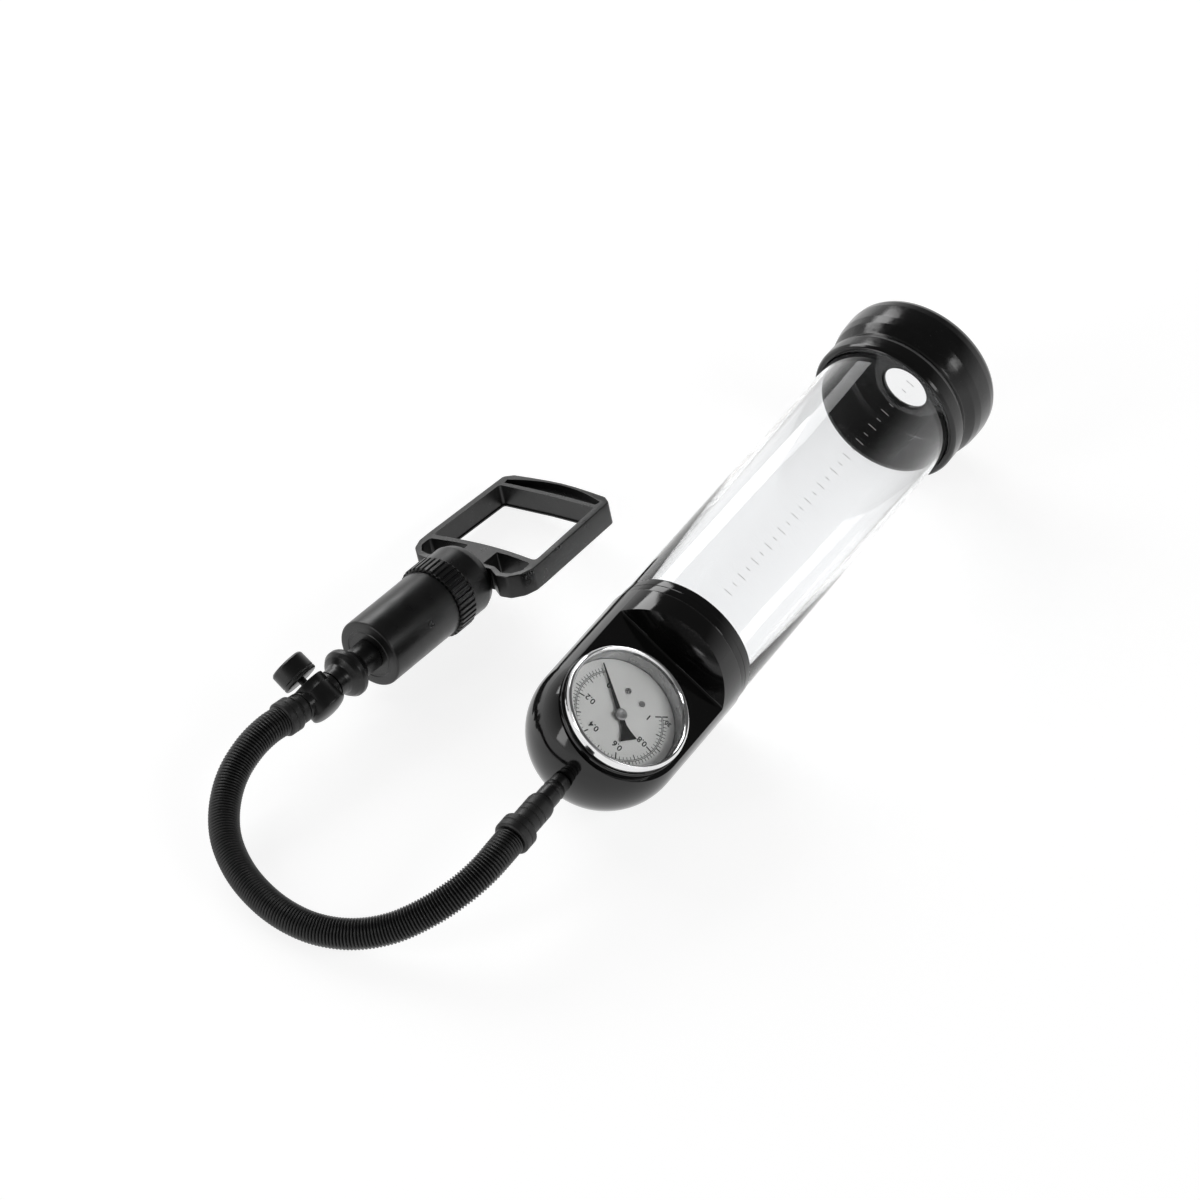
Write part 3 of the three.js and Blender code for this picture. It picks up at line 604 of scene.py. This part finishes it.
# ---- Sleeve ----------------------------------------------------------------------------------
COLLAR_X = 210.4
sleeve_profile = [
    (COLLAR_X, 30.3, 0.3), (COLLAR_X, 32.2, 1.2), (COLLAR_X + 1.6, 33, 1.6), (217.6, 33, 1.2),
    (219.6, 32.3, 0.6), (220.8, 31.5, 0.6), (222.2, 31.2, 0.6), (223.4, 32, 0.8), (226.2, 33.7, 2),
    (230, 34.5, 2.5), (234, RIM_R, 2.5), (237.5, RIM_R, 2.5), (240.6, 34.2, 2.5),
    (242.6, 33.2, 1.5), (RIM_X, 31.9, 0.9), (RIM_X, 30.2, 0.8), (241.4, 28.2, 1),
    (238.6, 25.2, 2), (234.5, 21.5, 2.5), (230.5, 16, 1.5), *arc(227, 11.8, 2, 40, -150, 10),
    (226.6, 16, 1), (228, 22, 1.5), (229.3, 26, 1), (229.3, 30.3, 0.4),
]


def sleeve_wave(angle, along, radius):
    """The soft bell is slightly out of round, more so towards its rim."""
    if radius <= 20:
        return 0
    return 0.12 * math.sin(3 * angle + 0.7) * min(1, max(0, (along - 222) / 15))


piece("soft_sleeve", lathe("soft_sleeve", sleeve_profile, 144, wave=sleeve_wave), CYLINDER,
      "sleeve", "sleeve_rubber", SLEEVE, "sleeve", smooth=60)

# ---- Gauge -----------------------------------------------------------------------------------
BEZEL_R = 25.9
WINDOW_R = 23.8
GLASS_R = 24.2
DIAL_R = 23.4
DIAL_SCREWS = ((11.1, 3.6), (11.1, -3.6))
GLASS_FOOT = BEZEL_FOOT + 1.4
GLASS_TOP = GLASS_FOOT + 1.2
bezel_mesh = lathe("bezel", [
    (0, GAUGE_HOLE_R), (0, BEZEL_R, 0.3), (2, BEZEL_R, 0.4), (3.1, 25.5, 0.5), (3.7, 24.9, 0.35),
    (3.55, 24.3, 0.2), (2.9, WINDOW_R, 0.1), (2.7, WINDOW_R, 0.1), (2.7, GAUGE_HOLE_R),
], 160, "z")
piece("bezel", tilted(bezel_mesh, move(0, 0, BEZEL_FOOT)), GAUGE, "base", "bezel_chrome", CHROME,
      "gauge_bezel", smooth=50)
piece("lens", lathe("lens", [
    (GLASS_FOOT, 0), (GLASS_FOOT, GLASS_R, 0.1), (GLASS_TOP, GLASS_R, 0.1), (GLASS_TOP, 0),
], 96, "z"), GAUGE, "base", "clear_lens", LENS, "gauge_lens")


def dial_hole(radius, segments, x=0.0, y=0.0):
    hole = lathe("dial_hole", [(-2, 0), (-2, radius, 0), (2, radius, 0), (2, 0)], segments, "z")
    return tilted(hole, move(x, y))


dial_mesh = combine(
    lathe("dial", [(-0.6, 0), (-0.6, DIAL_R, 0.1), (0, DIAL_R, 0.15), (0, 0)], 96, "z"),
    "DIFFERENCE", dial_hole(1.5, 32), *[dial_hole(0.9, 24, x, y) for x, y in DIAL_SCREWS])
piece("dial", dial_mesh, GAUGE, "base", "dial_white", DIAL, "gauge_dial")

SCALE_START = math.radians(54)
SCALE_SPAN = math.radians(263)
PRINT_Z = 0.03
INK = 0.03
ARC_STEPS = 180
mark_verts, mark_faces = [], []


def mark(angle, inner, outer, width):
    """One printed stroke from an inner to an outer radius."""
    spot = turn(angle, "Z") @ Matrix.Translation(((inner + outer) / 2, 0, PRINT_Z))
    box_parts(mark_verts, mark_faces, spot, (outer - inner, width, INK))


# The outer scale's strokes, the inner scale's, and the two arcs between them.
for k in range(61):
    angle = SCALE_START + SCALE_SPAN * k / 60
    if k % 20 == 0:
        mark(angle, 18.4, 20.8, 0.5)
    elif k % 10 == 0:
        mark(angle, 18.4, 20.5, 0.4)
    else:
        mark(angle, 18.4, 19.9, 0.24)
for k in range(51):
    angle = SCALE_START + SCALE_SPAN * k / 50
    if k % 10 == 0:
        mark(angle, 15.4, 18, 0.5)
    elif k % 5 == 0:
        mark(angle, 16, 18, 0.38)
    else:
        mark(angle, 16.8, 18, 0.22)
for radius in (18, 18.5):
    for k in range(ARC_STEPS):
        angle = SCALE_START + SCALE_SPAN * (k + 0.5) / ARC_STEPS
        width = radius * SCALE_SPAN / ARC_STEPS
        spot = turn(angle, "Z") @ Matrix.Translation((radius, 0, PRINT_Z))
        box_parts(mark_verts, mark_faces, spot, (0.22, width * 1.02, INK))


def figures(text, height, centre):
    """Adds a number to the marks, upright as the dial is read."""
    curve = bpy.data.curves.new("figure", "FONT")
    curve.body = text
    curve.size = height
    curve.align_x = "CENTER"
    curve.align_y = "CENTER"
    curve.extrude = INK / 2
    curve.offset = 0.07
    curve.resolution_u = 3
    obj = bpy.data.objects.new("figure", curve)
    bpy.context.scene.collection.objects.link(obj)
    bpy.context.view_layer.update()
    evaluated = obj.evaluated_get(bpy.context.evaluated_depsgraph_get())
    mesh = bpy.data.meshes.new_from_object(evaluated)
    start = len(mark_verts)
    spot = Matrix.Translation((*centre, PRINT_Z)) @ turn(math.pi / 2, "Z")
    mark_verts.extend(spot @ v.co for v in mesh.vertices)
    mark_faces.extend(tuple(start + i for i in p.vertices) for p in mesh.polygons)
    bpy.data.objects.remove(obj)


for share, text in enumerate(("0", "0.2", "0.4", "0.6", "0.8", "1")):
    angle = SCALE_START + SCALE_SPAN * share / 5
    figures(text, 3.5, (12.3 * math.cos(angle), 12.9 * math.sin(angle)))
for share, text in ((1, "10"), (2, "20"), (3, "30")):
    angle = SCALE_START + SCALE_SPAN * (share / 3 - 0.028)
    figures(text, 2.6, (20.6 * math.cos(angle), 20.6 * math.sin(angle)))
piece("dial_marks", to_mesh("dial_marks", mark_verts, mark_faces), GAUGE, "base", "dial_white",
      PRINT)

NEEDLE_FRAME = GAUGE @ turn(NEEDLE_REST, "Z")


def hub_side(start, end):
    """The needle's edge round its hub, between two angles in degrees."""
    angles = [math.radians(d) for d in range(start, end, 12)]
    return [(2.35 * math.cos(a), 2.35 * math.sin(a)) for a in angles]


needle_outline = [
    (21.4, -0.16), (21.4, 0.16), (2.4, 0.85), *hub_side(24, 157),
    (-4.5, 1.1), (-7, 1.9), (-10.4, 3.5), (-10.4, -3.5), (-7, -1.9), (-4.5, -1.1),
    *hub_side(204, 337), (2.4, -0.85),
]
piece("needle", plate("needle", needle_outline, 0.9, 1.3), NEEDLE_FRAME, "needle", "needle_black",
      NEEDLE, "gauge_needle", smooth=30)
piece("hub_cap", lathe("hub_cap", [
    (0.3, 0), (0.3, 0.9, 0), (1.55, 0.9, 0), (1.55, 2.5, 0.1), (1.9, 2.5, 0.25), (2.15, 2.1, 0.2),
    (2.1, 1.2, 0.1), (1.85, 0.8, 0.1), (1.85, 0),
], 48, "z"), NEEDLE_FRAME, "needle", "steel", STEEL, "needle_hub")

# ---- Hand pump -------------------------------------------------------------------------------
piece("barrel", lathe("barrel", [
    (0, 2), (0, 9.5, 0), (0.25, 9.8, 0.1), (0.25, 10.4, 0.1), (0, 10.7, 0.1), (0, 14.6, 1.0),
    (38.5, 14.6, 0.2), (38.5, 13.6, 0), (55, 13.6, 0), (55, 11.8, 0), (2.5, 11.8, 0), (2.5, 2),
], 128), PUMP, "base", "satin_black", PUMP_SATIN, "pump_barrel")
piece("nozzle", lathe("nozzle", [
    (-0.3, 2), (-0.3, 6.5, 0), (-1.2, 6.5, 0.3), (-8.6, 6.3, 1.2), (-10.4, 7.3, 1),
    (-12.4, 9.8, 1.2), (-13.4, 10.2, 0.6), (-15.2, 10.2, 0.8), (-16.9, 8.9, 1), (-18.2, 6.5, 1),
    (-20, 6.0, 0.6), (-23.5, 6.0, 0), (-23.5, 2),
], 72), PUMP, "base", "satin_black", PUMP_SATIN, "pump_nozzle", smooth=50)
RIBS = 40
KNURL_FROM = 38.8
KNURL_TO = 48


def knurl(angle, along, radius):
    """Grooves between the knurled ring's ribs."""
    if radius < 14.6 or not KNURL_FROM - 0.2 < along < KNURL_TO + 0.05:
        return 0
    share = (angle * RIBS / (2 * math.pi)) % 1
    groove = min(1, max(0, (abs(share - 0.5) - 0.26) / 0.1))
    return -0.75 * groove


piece("knurled_ring", lathe("knurled_ring", [
    (KNURL_FROM, 13.9), (KNURL_FROM, 15.5, 0.3), (KNURL_FROM + 0.5, 15.9, 0.3),
    (KNURL_TO - 0.5, 15.9, 0.3), (KNURL_TO, 15.3, 0.2), (KNURL_TO + 0.4, 15.05, 0.2),
    (57, 15.1, 2.4), (60.9, 13.6, 2.4), (61.5, 9.6, 1), (61.5, 6.6, 0.3), (61.2, 6, 0.2),
    (55.3, 6, 0), (55.3, 13.9, 0),
], RIBS * 8, rounding=0.2, wave=knurl), PUMP, "base", "satin_black", PUMP_SATIN, "knurled_cap",
      smooth=40)

# ---- Handle ----------------------------------------------------------------------------------
HANDLE_X = 62
HANDLE_END = 125
HANDLE_DEPTH = 10.2
SHOULDER_X = HANDLE_X + 12
SHOULDER_HALF = 29.9
GRIP_HALF = 27.9
STRAP = 3
GRIP_IN = HANDLE_END - 10.5


def both_sides(half, last=None):
    """A closed outline from its +Y half, and the point on the middle line after it."""
    mirrored = [(p[0], -p[1], *p[2:]) for p in reversed(half)]
    return half + ([last] if last else []) + mirrored


def rounded(outline):
    """The outline with its corners rounded, by 1 mm where a point says nothing else."""
    return fillet(outline, 1.0, 5)


handle_outline = rounded(both_sides([
    (HANDLE_X, 13, 1), (HANDLE_X - 3.2, 18.2, 2.5), (HANDLE_X - 2.6, 23.5, 3),
    (HANDLE_X + 1.4, 28, 4), (HANDLE_X + 6.5, SHOULDER_HALF, 4), (SHOULDER_X, SHOULDER_HALF, 3),
    (HANDLE_END - 4.6, GRIP_HALF, 2.6), (HANDLE_END - 2, GRIP_HALF - 4, 2),
    (HANDLE_END - 1, 15, 6), (HANDLE_END - 0.3, 7, 6),
], (HANDLE_END, 0, 6)))
bow = [(SHOULDER_X - 0.3 + 2 * (1 - (y / 26) ** 2), y, 0) for y in range(22, -23, -4)]


def finger_hole(grow, name, low, high):
    """The handle's main opening, its outline moved outwards by grow."""
    shoulder, grip = SHOULDER_HALF - STRAP + grow, GRIP_HALF - STRAP + grow
    arch = [(x - grow, y, 0) for x, y, _ in reversed(bow)]
    outline = [
        (SHOULDER_X - 0.2 - grow, -shoulder, 2.2), *arch, (SHOULDER_X - 0.2 - grow, shoulder, 2.2),
        (GRIP_IN + grow, grip, 1.4), (GRIP_IN + 0.6 + grow, 0, 0), (GRIP_IN + grow, -grip, 1.4),
    ]
    return plate(name, rounded(outline), low, high)


def side_window(side):
    """The opening beside the rod, on the +Y side (1) or the -Y side (-1)."""
    outline = [
        (HANDLE_X + 2, 7.5, 0.8), (HANDLE_X + 2, 13.5, 2), (HANDLE_X - 0.6, 19, 2),
        (HANDLE_X + 0.4, 23.5, 2), (HANDLE_X + 4, 26.5, 2), (SHOULDER_X - 2.7, 26.3, 1.5),
        (SHOULDER_X - 1.9, 20, 6), (SHOULDER_X - 1.2, 13.5, 6), (SHOULDER_X - 1, 7.5, 0.8),
    ]
    return plate("side_window", rounded([(x, side * y, r) for x, y, r in outline]), -8, 8)


def grip_lens(low, high):
    """The long lens-shaped hollow in the grip's face."""
    outward = [v * 24.5 / 12 for v in range(-12, 13)]
    inward = [v * 24 / 6 for v in range(6, -7, -1)]
    outer = [(HANDLE_END - 1.5 - 4.6 * (y / 24.5) ** 2, y) for y in outward]
    inner = [(GRIP_IN + 2.0 + 0.6 * (1 - (y / 24) ** 2), y) for y in inward]
    return plate("lens_hollow", outer + inner, low, high)


top, rim = HANDLE_DEPTH / 2, 1.0
handle_mesh = combine(
    plate("handle", handle_outline, -top, top, rounding=0.5), "DIFFERENCE",
    finger_hole(0, "finger_hole", -8, 8), finger_hole(0.6, "inner_channel", -top + 0.6, top - rim),
    side_window(1), side_window(-1),
    grip_lens(top - 3.4, 8), grip_lens(-8, -top + 3.4),
    lathe("rod_socket", [(61, 0), (61, 4.3, 0), (66.9, 4.3, 0), (66.9, 0)], 40),
    lathe("screw_hole", [(64, 0), (64, 1.8, 0), (76, 1.8, 0), (76, 0)], 24),
    lathe("screw_pocket", [(72, 0), (72, 3.9, 0), (83, 3.9, 0), (83, 0)], 40),
)
handle = piece("pull_handle", handle_mesh, HANDLE, "plunger", "satin_black", PUMP_SATIN,
               "pump_handle", smooth=30)
soft_edges(handle, 0.3, angle=50)
piece("piston_shaft", lathe("piston_shaft", [
    (9.8, 0), (9.8, 4, 0.3), (66.6, 4, 0.3), (66.6, 1.8, 0), (57.6, 1.8, 0), (57.6, 0),
], 48), PUMP, "plunger", "steel", STEEL, "piston_rod")

# ---- Release valve ---------------------------------------------------------------------------
flat_dome = [(-6.2 + z * 0.33, r, 0) for z, r, _ in arc(0, 0, 8, 180, 90, 10)]
cross = lathe("cross", [
    *flat_dome, (2, 8, 0), (2.3, 7.8, 0), (2.6, 8, 0), (6.4, 8, 0.4), (6.5, 5.4, 0.2),
    (6.1, 5, 0.2), (6.1, 0),
], 72, "z")
towards_pump = lathe("to_pump", [(0, 0), (0, 6, 0), (7.6, 6, 0.2), (7.9, 5.6, 0.1), (7.9, 0)], 56)
towards_hose = tilted(lathe("to_hose", [
    (-17.5, 0), (-17.5, 2.6, 0.2), (-8.4, 3.2, 0), (-8.4, 5.8, 0.2), (-8, 6, 0.2), (0, 6, 0),
    (0, 0),
], 56), turn(-VALVE_ROLL, "X") @ turn(CUFF_YAW, "Z"))
valve_mesh = combine(cross, "UNION", towards_pump, towards_hose)
valve_mesh = combine(valve_mesh, "DIFFERENCE",
                     lathe("bore", [(-6, 0), (-6, 3.6, 0), (9, 3.6, 0), (9, 0)], 40, "z"))
piece("valve_tee", valve_mesh, VALVE, "base", "satin_black", PUMP_SATIN, "valve_body", smooth=35)
piece("valve_knob", lathe("valve_knob", [
    (8.9, 0), (8.9, 7.3, 0.4), (9.4, 7.7, 0.3), (10.3, 7.7, 0.1), (10.6, 7.45, 0.1),
    (10.9, 7.7, 0.1), (17, 7.6, 0.5), (17.8, 6.9, 0.6), (18.15, 4, 1), (18.3, 0),
], 72, "z"), VALVE, "button", "satin_black", PUMP_SATIN, "release_button")

# ---- Small parts that keep their CAD shapes --------------------------------------------------
KEPT = {
    SEAL: ("tube_seal_ring", "gauge_gasket", "check_valve_flap", "piston_cup_seal", "valve_o_ring"),
    STEEL: ("gauge_case", "dial_screw_1", "dial_screw_2", "handle_screw", "valve_spring"),
    BRASS: ("gauge_pinion", "movement_plate", "gauge_sector", "gauge_socket", "bourdon_tube",
            "gauge_link"),
    PUMP_SATIN: ("rod_guide", "piston_head", "valve_stem"),
}
for material, names in KEPT.items():
    for name in names:
        for material_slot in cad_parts[name].material_slots:
            material_slot.material = material

# ---- Floor and light -------------------------------------------------------------------------
floor_mesh = bpy.data.meshes.new("floor")
floor_mesh.from_pydata([(-6, -6, 0), (6, -6, 0), (6, 6, 0), (-6, 6, 0)], [], [(0, 1, 2, 3)])
floor = bpy.data.objects.new("floor", floor_mesh)
floor.location.z = -0.0002
bpy.context.scene.collection.objects.link(floor)
paper = Nodes("floor_paper")
paper.shader.inputs["Base Color"].default_value = (0.3, 0.3, 0.3, 1)
paper.link(paper.spread(paper.noise(2, 2), 0.8, 0.9), paper.shader.inputs["Roughness"])
paper.shader.inputs["Specular IOR Level"].default_value = 0.1
paper.shader.inputs["Emission Color"].default_value = (1, 1, 1, 1)
paper.shader.inputs["Emission Strength"].default_value = 0.84
floor_mesh.materials.append(paper.material)

world = bpy.data.worlds.new("studio")
bpy.context.scene.world = world
world.use_nodes = True
sky = world.node_tree.nodes["Background"]
sky.inputs["Color"].default_value = (1, 1, 1, 1)
direction = world.node_tree.nodes.new("ShaderNodeTexCoord")
split = world.node_tree.nodes.new("ShaderNodeSeparateXYZ")
fade = world.node_tree.nodes.new("ShaderNodeMapRange")
for key, value in (("From Min", 0.0), ("From Max", 0.55), ("To Min", 0.95), ("To Max", 0.1)):
    fade.inputs[key].default_value = value
world.node_tree.links.new(direction.outputs["Generated"], split.inputs[0])
world.node_tree.links.new(split.outputs["Z"], fade.inputs["Value"])
world.node_tree.links.new(fade.outputs["Result"], sky.inputs["Strength"])


def softbox(name, place, target, size, power):
    light = bpy.data.lights.new(name, "AREA")
    light.shape = "RECTANGLE"
    light.size, light.size_y = size
    light.energy = power
    obj = bpy.data.objects.new(name, light)
    obj.location = place
    obj.rotation_euler = (Vector(target) - Vector(place)).to_track_quat("-Z", "Y").to_euler()
    bpy.context.scene.collection.objects.link(obj)


softbox("back", (0.6, 1.5, 1.0), (0, 0, 0.02), (1.6, 0.7), 16)
softbox("left", (-1.5, 0.9, 0.75), (0, 0, 0.03), (0.5, 1.3), 7)
softbox("front", (0.1, -1.5, 1.1), (0, 0, 0.03), (1.2, 0.4), 6)
bpy.context.scene.view_settings.view_transform = "Standard"
